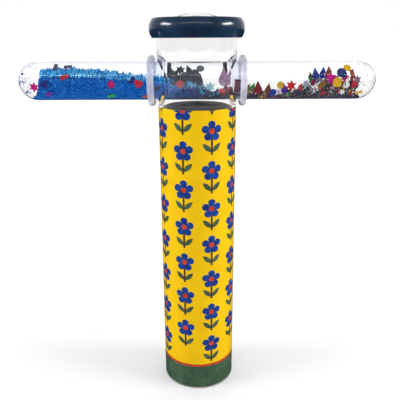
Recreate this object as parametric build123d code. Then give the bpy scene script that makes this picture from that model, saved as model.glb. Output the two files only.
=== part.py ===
from build123d import *

import os
from math import cos, pi, radians, sin, sqrt

# A wand kaleidoscope, standing on its eyepiece end. A clear outer tube holds a printed sleeve, and
# inside it a black tube with three mirrors. Above the mirrors a clear oil-filled wand lies across
# the tube through two soft rings, which let it turn and slide. A domed window in a bulged ring
# closes the top.
#
# Millimetres. Z is up, the tube's axis is Z, the rest face is z = 0, and the wand lies along X.

# ---- driving dimensions -------------------------------------------------------------------------

TUBE_R = 17.0  # outside of the clear tube
TUBE_WALL = 1.6
SLIP = 0.02  # room between pieces that are pushed or glued together
RUN = 0.06  # radial room between pieces that turn or slide

SLEEVE_TOP = 135.0  # upper edge of the printed paper
SLEEVE_THICK = 0.25
RECESS = 0.4  # what stands back from the rest face

WAND_Z = 145.8
WAND_R = 8.0
WAND_WALL = 1.0
WAND_LENGTH = 153.2

HOLE_R = 10.0  # the cross holes in the clear tube
FLANGE_R = 10.8  # the soft rings' collars
FLANGE_OUT = 21.2  # how far out along X the collars reach
FLANGE_GAP = 0.9  # room between a collar and the tube
HUB_IN = 11.9  # how far in along X their sleeves reach
NOSE_TAPER = 0.6  # how much thinner the sleeve is inside the tube
COLLAR_ROUND = 1.1

RING_LOW = 163.3
RING_HEIGHT = 7.85
RING_BULGE_R = 20.1
RING_LOW_R = 18.8
RING_TOP_R = 18.5
RING_LIP = 2.0  # thickness of the lip that covers the tube's end
RING_OPENING_R = 10.1

DOME_RISE = 2.1  # how far the window stands above the ring
WINDOW_RIM = 1.4
WINDOW_WALL = 1.5

INNER_R = 13.8  # outside of the black mirror tube
INNER_WALL = 0.8
MIRROR_THICK = 1.5
MIRROR_INRADIUS = 5.9  # from the axis to each mirror's face
MIRROR_GAP = 0.05
MASK_THICK = 1.6
MASK_RISE = 0.7  # how far the mask's face stands above the paper's edge

EYEPIECE_HEIGHT = 5.6
EYE_HOLE_R = 4.5
LENS_R = 8.0
LENS_THICK = 2.0
LENS_CROWN = 0.7
SPIGOT = 4.0

PLATE_THICK = 0.2  # the film that the confetti is cut from

# ---- worked out from them -----------------------------------------------------------------------

TUBE_INNER_R = TUBE_R - TUBE_WALL
RING_TOP = RING_LOW + RING_HEIGHT
TUBE_TOP = RING_TOP - RING_LIP
SLEEVE_OUTER_R = TUBE_INNER_R - SLIP
SLEEVE_INNER_R = SLEEVE_OUTER_R - SLEEVE_THICK
EYEPIECE_TOP = RECESS + EYEPIECE_HEIGHT
LENS_LOW = EYEPIECE_TOP - LENS_THICK - 1.0
MASK_LOW = SLEEVE_TOP + MASK_RISE - MASK_THICK
GLASS_THICK = 1.2
GLASS_LOW = MASK_LOW - GLASS_THICK
MIRROR_LOW = EYEPIECE_TOP + SPIGOT + 0.2
INNER_BORE_R = INNER_R - INNER_WALL
WAND_BORE_R = WAND_R - WAND_WALL
WAND_STRAIGHT = WAND_LENGTH / 2 - WAND_R  # half the length of its straight stretch
CAP_SPIGOT = 4.0
CAP_BORE_R = WAND_BORE_R - 0.7


# ---- shapes -------------------------------------------------------------------------------------

STANDING = (Align.CENTER, Align.CENTER, Align.MIN)


def disc(radius, low, high):
    """A round slab about Z between two heights."""
    return Pos(0, 0, low) * Cylinder(radius, high - low, align=STANDING)


def ring(outer, inner, low, high):
    """A round slab with a round hole."""
    return disc(outer, low, high) - disc(inner, low - 1, high + 1)


def turned(*edges, axis=Axis.Z):
    """A closed outline drawn in the XZ plane, turned about an axis."""
    return revolve(make_face(edges), axis)


def line(*points):
    """Straight runs through points given as (x, z)."""
    return Polyline(*[(x, 0, z) for x, z in points])


def bow(start, middle, end):
    """An arc through three points given as (x, z)."""
    return ThreePointArc(*[(x, 0, z) for x, z in (start, middle, end)])


def crown(edge, top):
    """An arc from an edge point (x, z) up or down to the axis, which it meets square."""
    radius, low = edge
    rise = top - low
    ball = (radius**2 + rise**2) / (2 * rise)
    middle = top - ball + sqrt(ball**2 - radius**2 / 4) * (1 if ball > 0 else -1)
    return bow(edge, (radius / 2, middle), (0, top))


def about_axis(shape, step, steps=3):
    """The shape turned about Z by a number of equal steps."""
    return Rot(0, 0, 360 * step / steps) * shape


def low_edges(solid, height):
    """The edges of a solid that lie flat at one height."""
    level = solid.edges().filter_by(lambda e: e.bounding_box().size.Z < 1e-6)
    return level.filter_by(lambda e: abs(e.center().Z - height) < 1e-6)


# ---- the body of the scope ----------------------------------------------------------------------


def outer_tube():
    """The clear tube, with a cross hole for the wand through both walls."""
    tube = ring(TUBE_R, TUBE_INNER_R, 0, TUBE_TOP)
    cross = Pos(0, 0, WAND_Z) * Rot(0, 90, 0) * Cylinder(HOLE_R, 3 * TUBE_R)
    return tube - cross


def printed_sleeve():
    return ring(SLEEVE_OUTER_R, SLEEVE_INNER_R, RECESS, SLEEVE_TOP)


def eyepiece():
    """The moulded foot: an eye hole that flares outwards, a lens seat, and a spigot for the inner tube."""
    body = disc(SLEEVE_INNER_R - SLIP, RECESS, EYEPIECE_TOP)
    body += disc(INNER_BORE_R - SLIP, EYEPIECE_TOP, EYEPIECE_TOP + SPIGOT)
    body -= disc(EYE_HOLE_R, 0, EYEPIECE_TOP + SPIGOT + 1)
    body -= disc(LENS_R, LENS_LOW, EYEPIECE_TOP + SPIGOT + 1)
    throat = LENS_LOW - 0.6
    flare = line((0, RECESS), (LENS_R, RECESS), (EYE_HOLE_R, throat), (0, throat), (0, RECESS))
    return body - turned(flare)


def eye_lens():
    """A flat-backed lens with a low crown."""
    radius = LENS_R - SLIP
    top = LENS_LOW + LENS_THICK
    rim = top - LENS_CROWN
    side = line((0, top), (0, LENS_LOW), (radius, LENS_LOW), (radius, rim))
    return turned(side, crown((radius, rim), top))


def lens_retainer():
    """A thin ring pushed down on the lens's edge."""
    return ring(LENS_R - SLIP, LENS_R - 1.8, LENS_LOW + LENS_THICK, LENS_LOW + LENS_THICK + 1.2)


def inner_tube():
    return ring(INNER_R, INNER_BORE_R, EYEPIECE_TOP, MASK_LOW)


def foam_ring(low, height=7.0):
    """A soft band that centres the inner tube in the sleeve."""
    return ring(SLEEVE_INNER_R - SLIP, INNER_R + SLIP, low, low + height)


def mirror_width():
    return 2 * sqrt(3) * MIRROR_INRADIUS - 2 * MIRROR_GAP


def mirror(step):
    """One of three equal glass strips that stand in a triangle with their faces to the axis."""
    height = GLASS_LOW - MIRROR_LOW
    strip = Box(mirror_width(), MIRROR_THICK, height, align=(Align.CENTER, Align.MIN, Align.MIN))
    return about_axis(Pos(0, MIRROR_INRADIUS, MIRROR_LOW) * strip, step)


def mirror_outline():
    """The six outer corners of the three strips, in order."""
    half, back = mirror_width() / 2, MIRROR_INRADIUS + MIRROR_THICK
    corners = []
    for step in range(3):
        turn = radians(120 * step)
        for side in (half, -half):
            corners.append((side * cos(turn) - back * sin(turn), side * sin(turn) + back * cos(turn)))
    return corners


def mirror_tape():
    """Two bands of tape that hold the three strips together."""
    bands = []
    thick, height = 0.15, 9.0
    core = make_face(Polyline(*mirror_outline(), close=True))
    band = extrude(offset(core, thick, kind=Kind.INTERSECTION) - core, height)
    for low in (MIRROR_LOW + 12, GLASS_LOW - 12 - height):
        bands.append(Pos(0, 0, low) * band)
    return Compound(bands)


def mirror_padding():
    """Foam strips that wedge the mirrors in the inner tube, one behind each strip, in two rows."""
    pads = []
    back, height = MIRROR_INRADIUS + MIRROR_THICK + 0.1, 14.0
    slab = Pos(0, back, 0) * Box(15.0, 10.0, height, align=(Align.CENTER, Align.MIN, Align.MIN))
    pad = slab & disc(INNER_BORE_R - SLIP, 0, height)
    for low in (MIRROR_LOW + 30, GLASS_LOW - 30 - height):
        pads += [about_axis(Pos(0, 0, low) * pad, step) for step in range(3)]
    return Compound(pads)


def object_window():
    """The clear disc that keeps dust out of the mirrors."""
    return disc(INNER_BORE_R - SLIP, GLASS_LOW, MASK_LOW)


def mirror_mask():
    """The black disc on the mirror tube's upper end, with a triangular opening as wide as the mirrors."""
    body = disc(INNER_R, MASK_LOW, MASK_LOW + MASK_THICK)
    body = fillet(low_edges(body, MASK_LOW + MASK_THICK), 0.5)
    corner = 2 * (MIRROR_INRADIUS - 0.3)
    corners = [(corner * cos(radians(a)), corner * sin(radians(a))) for a in (210, 330, 90)]
    opening = extrude(make_face(Polyline(*corners, close=True)), MASK_THICK + 2)
    return body - Pos(0, 0, MASK_LOW - 1) * opening


# ---- the top ------------------------------------------------------------------------------------


def end_ring():
    """The glossy bulged ring over the tube's end, with a lip that holds the window down."""
    bore = TUBE_R + SLIP
    middle = (RING_BULGE_R, RING_LOW + RING_HEIGHT * 0.47)
    body = turned(
        line((RING_TOP_R, RING_TOP), (RING_OPENING_R, RING_TOP), (RING_OPENING_R, TUBE_TOP)),
        line((RING_OPENING_R, TUBE_TOP), (bore, TUBE_TOP), (bore, RING_LOW), (RING_LOW_R, RING_LOW)),
        bow((RING_LOW_R, RING_LOW), middle, (RING_TOP_R, RING_TOP)),
    )
    return fillet(low_edges(body, RING_TOP), 0.5)


def end_window():
    """The clear domed window: a flat rim under the ring's lip, and a dome that rises through it."""
    rim_r, boss_r = TUBE_INNER_R - SLIP, RING_OPENING_R - SLIP
    low, apex = TUBE_TOP - WINDOW_RIM, RING_TOP + DOME_RISE
    well_r, roof = boss_r - 1.2, apex - WINDOW_WALL
    return turned(
        line((0, roof), (0, apex)),
        crown((boss_r, RING_TOP), apex),
        line((boss_r, RING_TOP), (boss_r, TUBE_TOP), (rim_r, TUBE_TOP), (rim_r, low), (well_r, low)),
        crown((well_r, low), roof),
    )


def window_retainer():
    """The ring that is pushed into the tube under the window."""
    top = TUBE_TOP - WINDOW_RIM
    return ring(TUBE_INNER_R - SLIP, TUBE_INNER_R - 2.2, top - 2.0, top)


# ---- the soft rings -----------------------------------------------------------------------------


def grommet(side):
    """A soft ring in a cross hole: a sleeve through the wall and a round-edged collar outside it."""
    bore, hub, face = WAND_R + RUN, HOLE_R - RUN, TUBE_R + FLANGE_GAP
    nose = hub - NOSE_TAPER
    mouth = TUBE_INNER_R - 0.8
    body = turned(
        line((HUB_IN, bore), (FLANGE_OUT, bore), (FLANGE_OUT, FLANGE_R), (face, FLANGE_R), (face, hub)),
        line((face, hub), (mouth, hub), (mouth - 2 * NOSE_TAPER, nose), (HUB_IN, nose), (HUB_IN, bore)),
        axis=Axis.X,
    )
    body = fillet(rim(body, FLANGE_OUT, FLANGE_R), COLLAR_ROUND)
    body = fillet(rim(body, face, FLANGE_R), COLLAR_ROUND / 2.5)
    return Pos(0, 0, WAND_Z) * Rot(0, 0, 0 if side > 0 else 180) * body


def rim(solid, along, radius):
    """The round edges about X of one radius, at one place along it."""
    around = solid.edges().filter_by(lambda e: abs(e.bounding_box().size.Z - 2 * radius) < 0.01)
    return around.filter_by(lambda e: abs(e.center().X - along) < 0.01)


# ---- the wand -----------------------------------------------------------------------------------


def round_rod(radius, start, end, blunt=False):
    """A rod along X whose ends are half balls, or cut flat at the end when blunt."""
    slope = radius / sqrt(2)
    edges = [line((start - radius, 0), (end if blunt else end + radius, 0))]
    if blunt:
        edges += [line((end, 0), (end, radius), (start, radius))]
    else:
        edges += [bow((end + radius, 0), (end + slope, slope), (end, radius))]
        edges += [line((end, radius), (start, radius))]
    edges += [bow((start, radius), (start - slope, slope), (start - radius, 0))]
    return turned(*edges, axis=Axis.X)


def wand_tube():
    """The clear tube of the wand, closed by a round end at -X."""
    shell = round_rod(WAND_R, -WAND_STRAIGHT, WAND_STRAIGHT, blunt=True)
    bore = round_rod(WAND_BORE_R, -WAND_STRAIGHT, WAND_STRAIGHT + 1, blunt=True)
    return Pos(0, 0, WAND_Z) * (shell - bore)


def wand_end_cap():
    """The hollow round cap glued into the wand's open end."""
    low = WAND_STRAIGHT - CAP_SPIGOT
    outer = WAND_BORE_R - SLIP
    slope, inner_slope = WAND_R / sqrt(2), CAP_BORE_R / sqrt(2)
    body = turned(
        line((WAND_STRAIGHT, WAND_R), (WAND_STRAIGHT, outer), (low, outer)),
        line((low, outer), (low, CAP_BORE_R), (WAND_STRAIGHT, CAP_BORE_R)),
        bow(
            (WAND_STRAIGHT, CAP_BORE_R),
            (WAND_STRAIGHT + inner_slope, inner_slope),
            (WAND_STRAIGHT + CAP_BORE_R, 0),
        ),
        line((WAND_STRAIGHT + CAP_BORE_R, 0), (WAND_STRAIGHT + WAND_R, 0)),
        bow((WAND_STRAIGHT + WAND_R, 0), (WAND_STRAIGHT + slope, slope), (WAND_STRAIGHT, WAND_R)),
        axis=Axis.X,
    )
    return Pos(0, 0, WAND_Z) * body


def wand_cavity():
    """The space inside the closed wand, which the oil and the glitter fill."""
    wide = round_rod(WAND_BORE_R - SLIP, -WAND_STRAIGHT, WAND_STRAIGHT - CAP_SPIGOT, blunt=True)
    narrow = round_rod(CAP_BORE_R - SLIP, 0, WAND_STRAIGHT)
    return Pos(0, 0, WAND_Z) * (wide + narrow)


# ---- what floats in the wand --------------------------------------------------------------------


def star(size, points=6):
    """A flat star with straight-sided points."""
    corners = []
    for i in range(2 * points):
        radius = size / 2 * (1.0 if i % 2 == 0 else 0.5)
        corners.append((radius * sin(pi * i / points), radius * cos(pi * i / points)))
    return make_face(Polyline(*corners, close=True))


def heart(size):
    """A square on its corner with a half disc on each upper side."""
    side = size * 0.6
    half = side / 2 / sqrt(2)
    return Rot(0, 0, 45) * Rectangle(side, side) + [Pos(x, half) * Circle(side / 2) for x in (half, -half)]


def drop(size):
    """A disc drawn out to a point, as a tear is."""
    radius = size * 0.3
    reach = size - radius
    lift = radius**2 / reach
    side = radius * sqrt(1 - (radius / reach) ** 2)
    tear = Circle(radius) + make_face(Polyline((0, reach), (side, lift), (-side, lift), close=True))
    return Pos(0, radius - size / 2) * tear


def round_spot(size):
    return Circle(size / 2)


def sliver(size):
    """A narrow strip of foil."""
    return Rectangle(size * 0.5, size)


# Each piece: how far along the wand it stands, its height over the wand's axis, how it is turned in
# its own plane, its size, and how far it stands back from the place next to the wall. They all
# stand upright and face the front.
LAYER_R = 6.7  # how near to the wall a plate's corners come

STARS = [
    (-70.4, -2.2, 8, 3.6, 0.9),
    (-37.4, -1.0, 20, 3.2, 0.0),
    (-6.9, 4.0, 10, 3.8, 0.0),
    (5.4, -1.9, 0, 4.4, 0.0),
    (10.1, -3.5, 25, 3.2, 0.0),
    (39.4, -1.6, 5, 4.0, 0.0),
    (44.9, -0.9, 15, 3.0, 0.0),
    (48.5, -1.9, 0, 3.6, 0.6),
    (60.0, -3.9, 10, 2.4, 0.0),
    (67.0, 0.4, 0, 4.2, 0.9),
]
HEARTS = [
    (-65.6, -1.1, -20, 3.0, 0.0),
    (-25.2, -1.2, 15, 3.2, 0.0),
    (-1.9, 1.2, -12, 5.4, 0.0),
    (54.8, 0.6, 20, 3.0, 0.0),
    (64.4, -1.5, 30, 2.8, 1.0),
]
DROPS = [
    (-61.0, -3.6, 70, 3.2, 0.0),
    (11.0, 1.9, 0, 6.6, 0.0),
    (21.3, -1.3, 30, 3.0, 0.0),
    (23.4, -1.8, -20, 3.2, 0.9),
    (25.4, -1.7, -5, 4.8, 0.0),
    (29.7, -1.9, 6, 3.4, 0.0),
    (33.5, -3.1, 10, 3.2, 0.0),
    (36.6, -2.2, -8, 3.4, 0.0),
    (49.2, 3.4, -10, 4.0, 0.0),
    (52.5, 3.4, 12, 4.2, 0.4),
    (55.0, 3.9, 5, 3.2, 1.3),
    (62.3, -0.9, 0, 3.0, 0.4),
]
SPOTS = [
    (-10.3, 2.7, 0, 1.8, 0.0),
    (-7.0, -0.8, 0, 2.6, 0.0),
    (1.4, 4.9, 0, 2.8, 0.0),
    (31.9, -4.2, 0, 2.7, 0.4),
    (34.9, -0.6, 0, 2.4, 0.0),
    (58.2, -0.4, 0, 3.0, 0.0),
    (60.0, 2.9, 0, 3.0, 0.0),
    (62.6, 4.3, 0, 2.4, 0.6),
]
SLIVERS = [
    (-61.2, 5.0, 85, 2.6, 0.0),
    (-57.2, 1.7, 10, 3.0, 0.0),
    (-55.7, 5.2, 80, 2.2, 0.0),
    (-37.2, -5.0, 70, 2.4, 0.0),
    (-26.7, 2.2, 35, 2.4, 0.0),
    (-21.8, -2.2, 75, 2.8, 0.0),
    (-16.8, -3.4, 20, 3.0, 0.0),
    (16.9, -0.6, 4, 4.2, 0.0),
    (51.8, -1.2, 60, 3.0, 0.4),
    (64.8, 2.5, -25, 2.6, 0.9),
    (68.3, -3.4, 65, 2.4, 1.2),
]


def plates(outline, places):
    """Thin upright plates of one outline, each close behind the wand's front wall."""
    made = []
    for along, height, turn, size, back in places:
        front = sqrt(LAYER_R**2 - (abs(height) + size / 2) ** 2) - back
        plate = Rot(0, 0, turn) * extrude(outline(size), PLATE_THICK)
        made.append(Pos(along, -front, WAND_Z + height) * Rot(90, 0, 0) * plate)
    return made


def bed(outline, cavity):
    """Settled glitter: the part of the cavity under an outline of (x, height above the wand's axis)."""
    edges = Polyline(*[(x, 0, WAND_Z + z) for x, z in outline], close=True)
    slab = extrude(make_face(edges), WAND_R, both=True)
    return slab & cavity


BED_FLOOR = -WAND_R - 1
BLUE_BED = [
    (-76.0, BED_FLOOR),
    (-76.0, 0.6),
    (-68.0, 2.2),
    (-42.0, 2.3),
    (-22.0, -0.2),
    (-6.0, -1.4),
    (3.0, -3.0),
    (5.0, BED_FLOOR),
]
MIXED_BED = [
    (5.2, BED_FLOOR),
    (5.4, -3.4),
    (22.0, -3.0),
    (44.0, -3.0),
    (49.0, -1.4),
    (66.0, -1.8),
    (71.0, -3.6),
    (76.0, BED_FLOOR),
]


# ---- every piece by its name --------------------------------------------------------------------


def wand_contents():
    """The glitter, the confetti and the oil that takes up what is left of the cavity."""
    cavity = wand_cavity()
    confetti = {
        "star_confetti": plates(star, STARS),
        "heart_confetti": plates(heart, HEARTS),
        "drop_confetti": plates(drop, DROPS),
        "disc_confetti": plates(round_spot, SPOTS),
        "sliver_confetti": plates(sliver, SLIVERS),
    }
    solids = [plate for group in confetti.values() for plate in group]
    blue, mixed = bed(BLUE_BED, cavity), bed(MIXED_BED, cavity)
    pieces = {name: Compound(group) for name, group in confetti.items()}
    pieces["blue_glitter"] = blue - solids
    pieces["mixed_glitter"] = mixed - solids
    pieces["wand_oil"] = cavity - [blue, mixed] - solids
    return pieces


def all_pieces():
    pieces = {
        "outer_tube": outer_tube(),
        "printed_sleeve": printed_sleeve(),
        "eyepiece": eyepiece(),
        "eye_lens": eye_lens(),
        "lens_retainer": lens_retainer(),
        "inner_tube": inner_tube(),
        "foam_ring_bottom": foam_ring(EYEPIECE_TOP + 6),
        "foam_ring_top": foam_ring(MASK_LOW - 10),
        "mirror_1": mirror(0),
        "mirror_2": mirror(1),
        "mirror_3": mirror(2),
        "mirror_tape": mirror_tape(),
        "mirror_padding": mirror_padding(),
        "object_window": object_window(),
        "mirror_mask": mirror_mask(),
        "end_ring": end_ring(),
        "end_window": end_window(),
        "window_retainer": window_retainer(),
        "grommet_left": grommet(-1),
        "grommet_right": grommet(1),
        "wand_tube": wand_tube(),
        "wand_end_cap": wand_end_cap(),
    }
    pieces.update(wand_contents())
    return pieces


os.makedirs("parts", exist_ok=True)
for name, piece in all_pieces().items():
    export_step(piece, f"parts/{name}.step")
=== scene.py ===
"""A wand kaleidoscope standing on its eyepiece end, dressed in its real finishes.

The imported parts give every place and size. Three kinds of piece are modelled here: the clear
tube and wand, whose one closed skin each bends light as the real solid does; the printed paper
with its inks; and what floats in the wand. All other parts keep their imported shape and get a
finish. Sizes are in millimetres and become metres as a mesh is made.
"""

import logging
import random
from dataclasses import dataclass
from enum import Enum
from math import asin, atan2, cos, pi, radians, sin, sqrt

import bpy
from mathutils import Euler, Matrix, Vector


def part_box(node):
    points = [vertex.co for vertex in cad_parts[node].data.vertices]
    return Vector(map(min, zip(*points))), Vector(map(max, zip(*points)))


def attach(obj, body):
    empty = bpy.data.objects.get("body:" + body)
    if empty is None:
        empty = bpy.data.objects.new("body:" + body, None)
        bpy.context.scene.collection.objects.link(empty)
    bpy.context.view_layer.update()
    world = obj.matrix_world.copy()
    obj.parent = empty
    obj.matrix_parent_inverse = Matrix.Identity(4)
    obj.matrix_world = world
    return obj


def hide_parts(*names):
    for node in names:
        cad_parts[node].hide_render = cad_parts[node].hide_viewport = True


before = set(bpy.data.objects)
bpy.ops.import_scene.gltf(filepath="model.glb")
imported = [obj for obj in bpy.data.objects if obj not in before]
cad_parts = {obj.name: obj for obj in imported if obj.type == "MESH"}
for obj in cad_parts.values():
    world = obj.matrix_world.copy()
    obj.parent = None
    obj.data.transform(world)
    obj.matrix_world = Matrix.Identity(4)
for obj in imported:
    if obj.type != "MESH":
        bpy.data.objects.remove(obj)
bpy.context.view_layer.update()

LOG = logging.getLogger("kaleidoscope")
MM = 0.001
Point = tuple[float, float]


# ---- colour and nodes ---------------------------------------------------------------------------


def linear(code: str) -> tuple[float, float, float, float]:
    """Turns an sRGB colour into the linear one that shaders use.

    Args:
        code: six hex digits, such as "F0B400".

    Returns:
        Red, green, blue and a full alpha.
    """
    parts = [int(code[i : i + 2], 16) / 255 for i in (0, 2, 4)]
    red, green, blue = (c / 12.92 if c <= 0.04045 else ((c + 0.055) / 1.055) ** 2.4 for c in parts)
    return red, green, blue, 1.0


def add_node(tree: bpy.types.NodeTree, kind: str, settings: dict, inputs: dict) -> bpy.types.Node:
    """Adds one node, sets it up and links it.

    Args:
        tree: the node tree.
        kind: the node's type.
        settings: its own properties.
        inputs: a value or another node's output for each named or numbered input.

    Returns:
        The new node.
    """
    node = tree.nodes.new(kind)
    for name, value in settings.items():
        setattr(node, name, value)
    for key, value in inputs.items():
        if isinstance(value, bpy.types.NodeSocket):
            tree.links.new(value, node.inputs[key])
        else:
            node.inputs[key].default_value = value
    return node


def ramp(tree: bpy.types.NodeTree, factor: bpy.types.NodeSocket, stops: list[tuple[float, str]]):
    """Spreads colours over a pattern.

    Args:
        tree: the node tree.
        factor: the pattern, from 0 to 1.
        stops: each colour's place and hex code, in order.

    Returns:
        The colour output.
    """
    node = add_node(tree, "ShaderNodeValToRGB", {}, {"Fac": factor})
    bar = node.color_ramp.elements
    while len(bar) < len(stops):
        bar.new(1.0)
    for element, (place, code) in zip(bar, stops):
        element.position = place
        element.color = linear(code)
    return node.outputs["Color"]


# ---- finishes -----------------------------------------------------------------------------------


@dataclass(frozen=True)
class Finish:
    """What every finish has: a name, and a surface that its own class builds."""

    name: str

    def surface(self, tree: bpy.types.NodeTree, where: bpy.types.NodeSocket):
        """Builds the surface and returns its shader output; each finish has its own."""
        raise NotImplementedError

    def build(self) -> bpy.types.Material:
        """Makes the material, on Object coordinates, once."""
        made = bpy.data.materials.get(self.name)
        if made:
            return made
        material = bpy.data.materials.new(self.name)
        material.use_nodes = True
        tree = material.node_tree
        tree.nodes.clear()
        where = add_node(tree, "ShaderNodeTexCoord", {}, {}).outputs["Object"]
        shader = self.surface(tree, where)
        add_node(tree, "ShaderNodeOutputMaterial", {}, {"Surface": shader})
        return material


@dataclass(frozen=True)
class ClearAcrylic(Finish):
    """Cast acrylic, polished: clear to the eye, and the light that falls on what it holds is not dimmed."""

    ior: float = 1.49
    tint: str = "FFFFFF"
    haze: float = 0.012

    def surface(self, tree: bpy.types.NodeTree, where: bpy.types.NodeSocket):
        """Clear bending skin for what is looked at; open to the light on its way to the pieces behind."""
        # Handling marks are broad and very faint: patches about 12 mm across.
        marks = add_node(tree, "ShaderNodeTexNoise", {}, {"Vector": where, "Scale": 1 / (12 * MM)})
        haze = add_node(
            tree,
            "ShaderNodeMapRange",
            {},
            {"Value": marks.outputs["Fac"], "From Min": 0.45, "From Max": 0.8, "To Max": self.haze},
        )
        body = add_node(tree, "ShaderNodeBsdfPrincipled", {}, {
            "Base Color": linear(self.tint),
            "Roughness": haze.outputs["Result"],
            "IOR": self.ior,
            "Transmission Weight": 1.0,
        })
        path = add_node(tree, "ShaderNodeLightPath", {}, {})
        passing = add_node(
            tree,
            "ShaderNodeMath",
            {"operation": "MAXIMUM"},
            {0: path.outputs["Is Shadow Ray"], 1: path.outputs["Is Diffuse Ray"]},
        )
        open_side = add_node(tree, "ShaderNodeBsdfTransparent", {}, {})
        mix = add_node(
            tree,
            "ShaderNodeMixShader",
            {},
            {0: passing.outputs[0], 1: body.outputs[0], 2: open_side.outputs[0]},
        )
        return mix.outputs[0]


@dataclass(frozen=True)
class SoftVinyl(Finish):
    """Milky soft vinyl, moulded: light soaks through it, bluish at the edges."""

    shade: str = "DDE2EE"
    milk: float = 0.3

    def surface(self, tree: bpy.types.NodeTree, where: bpy.types.NodeSocket):
        """Part cloudy see-through body, part milky surface."""
        cloud = add_node(tree, "ShaderNodeTexNoise", {}, {"Vector": where, "Scale": 1 / (3 * MM)})
        colour = ramp(tree, cloud.outputs["Fac"], [(0.3, self.shade), (0.7, "F4F2F6")])
        clear = add_node(
            tree,
            "ShaderNodeBsdfPrincipled",
            {},
            {"Base Color": colour, "Roughness": 0.06, "IOR": 1.45, "Transmission Weight": 1.0 - self.milk},
        )
        path = add_node(tree, "ShaderNodeLightPath", {}, {})
        open_side = add_node(tree, "ShaderNodeBsdfTransparent", {}, {})
        mix = add_node(
            tree,
            "ShaderNodeMixShader",
            {},
            {0: path.outputs["Is Shadow Ray"], 1: clear.outputs[0], 2: open_side.outputs[0]},
        )
        return mix.outputs[0]


@dataclass(frozen=True)
class Ink(Finish):
    """Offset ink on coated paper: flat colour, a little uneven."""

    light: str = "FFFFFF"
    dark: str = "000000"
    cloud: float = 6.0

    def surface(self, tree: bpy.types.NodeTree, where: bpy.types.NodeSocket):
        """Two close shades in soft clouds, with the paper's fine tooth."""
        broad = add_node(
            tree,
            "ShaderNodeTexNoise",
            {},
            {"Vector": where, "Scale": 1 / (self.cloud * MM), "Detail": 5.0, "Roughness": 0.65},
        )
        colour = ramp(tree, broad.outputs["Fac"], [(0.36, self.dark), (0.64, self.light)])
        # The paper's tooth is about 0.15 mm, drawn at 0.3 mm so that it shows.
        tooth = add_node(tree, "ShaderNodeTexNoise", {}, {"Vector": where, "Scale": 1 / (0.3 * MM)})
        relief = add_node(
            tree,
            "ShaderNodeBump",
            {},
            {"Height": tooth.outputs["Fac"], "Strength": 0.08, "Distance": 0.02 * MM},
        )
        body = add_node(tree, "ShaderNodeBsdfPrincipled", {}, {
            "Base Color": colour,
            "Roughness": 0.6,
            "Specular IOR Level": 0.1,
            "Normal": relief.outputs["Normal"],
        })
        return body.outputs[0]


@dataclass(frozen=True)
class Plastic(Finish):
    """Injection-moulded plastic or card: one colour with a fine grain, matt or glossy."""

    light: str = "404448"
    dark: str = "303438"
    roughness: float = 0.45
    grain: float = 0.4
    relief: float = 0.1
    coat: float = 0.0

    def surface(self, tree: bpy.types.NodeTree, where: bpy.types.NodeSocket):
        """The colour's slight variation, the grain's relief and the gloss."""
        cloud = add_node(
            tree, "ShaderNodeTexNoise", {}, {"Vector": where, "Scale": 1 / (8 * MM), "Detail": 4.0}
        )
        colour = ramp(tree, cloud.outputs["Fac"], [(0.35, self.dark), (0.65, self.light)])
        fine = add_node(tree, "ShaderNodeTexNoise", {}, {"Vector": where, "Scale": 1 / (self.grain * MM)})
        bump = add_node(
            tree,
            "ShaderNodeBump",
            {},
            {"Height": fine.outputs["Fac"], "Strength": self.relief, "Distance": 0.05 * MM},
        )
        body = add_node(tree, "ShaderNodeBsdfPrincipled", {}, {
            "Base Color": colour,
            "Roughness": self.roughness,
            "Coat Weight": self.coat,
            "Coat Roughness": 0.03,
            "Normal": bump.outputs["Normal"],
        })
        return body.outputs[0]


@dataclass(frozen=True)
class MirrorGlass(Finish):
    """First-surface mirror: bright aluminium on float glass, with the faintest wipe marks."""

    def surface(self, tree: bpy.types.NodeTree, where: bpy.types.NodeSocket):
        """Metal with a trace of haze."""
        wipes = add_node(tree, "ShaderNodeTexNoise", {}, {"Vector": where, "Scale": 1 / (9 * MM)})
        haze = add_node(
            tree, "ShaderNodeMapRange", {}, {"Value": wipes.outputs["Fac"], "To Min": 0.02, "To Max": 0.06}
        )
        body = add_node(
            tree,
            "ShaderNodeBsdfPrincipled",
            {},
            {"Base Color": linear("E8EAEC"), "Metallic": 1.0, "Roughness": haze.outputs["Result"]},
        )
        return body.outputs[0]


@dataclass(frozen=True)
class GlitterBed(Finish):
    """Packed fine glitter in oil: thousands of small flakes, each with its own shade."""

    shades: tuple[tuple[float, str], ...] = ((0.0, "1E55A8"),)
    flake: float = 0.45
    metallic: float = 0.2

    def surface(self, tree: bpy.types.NodeTree, where: bpy.types.NodeSocket):
        """One shade for each flake-sized cell, which stands a little taller than it is wide."""
        # The flakes slide down on edge, so the cells are drawn half as wide as they are tall.
        tall = add_node(tree, "ShaderNodeMapping", {}, {"Vector": where, "Scale": (1.0, 1.0, 0.55)})
        cells = add_node(
            tree,
            "ShaderNodeTexVoronoi",
            {},
            {"Vector": tall.outputs["Vector"], "Scale": 1 / (self.flake * MM)},
        )
        one = add_node(tree, "ShaderNodeSeparateColor", {}, {"Color": cells.outputs["Color"]})
        colour = ramp(tree, one.outputs["Red"], list(self.shades))
        gloss = add_node(
            tree, "ShaderNodeMapRange", {}, {"Value": one.outputs["Green"], "To Min": 0.25, "To Max": 0.6}
        )
        body = add_node(tree, "ShaderNodeBsdfPrincipled", {}, {
            "Base Color": colour,
            "Roughness": gloss.outputs["Result"],
            "Metallic": self.metallic,
            "Specular IOR Level": 0.0,
        })
        return body.outputs[0]


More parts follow.
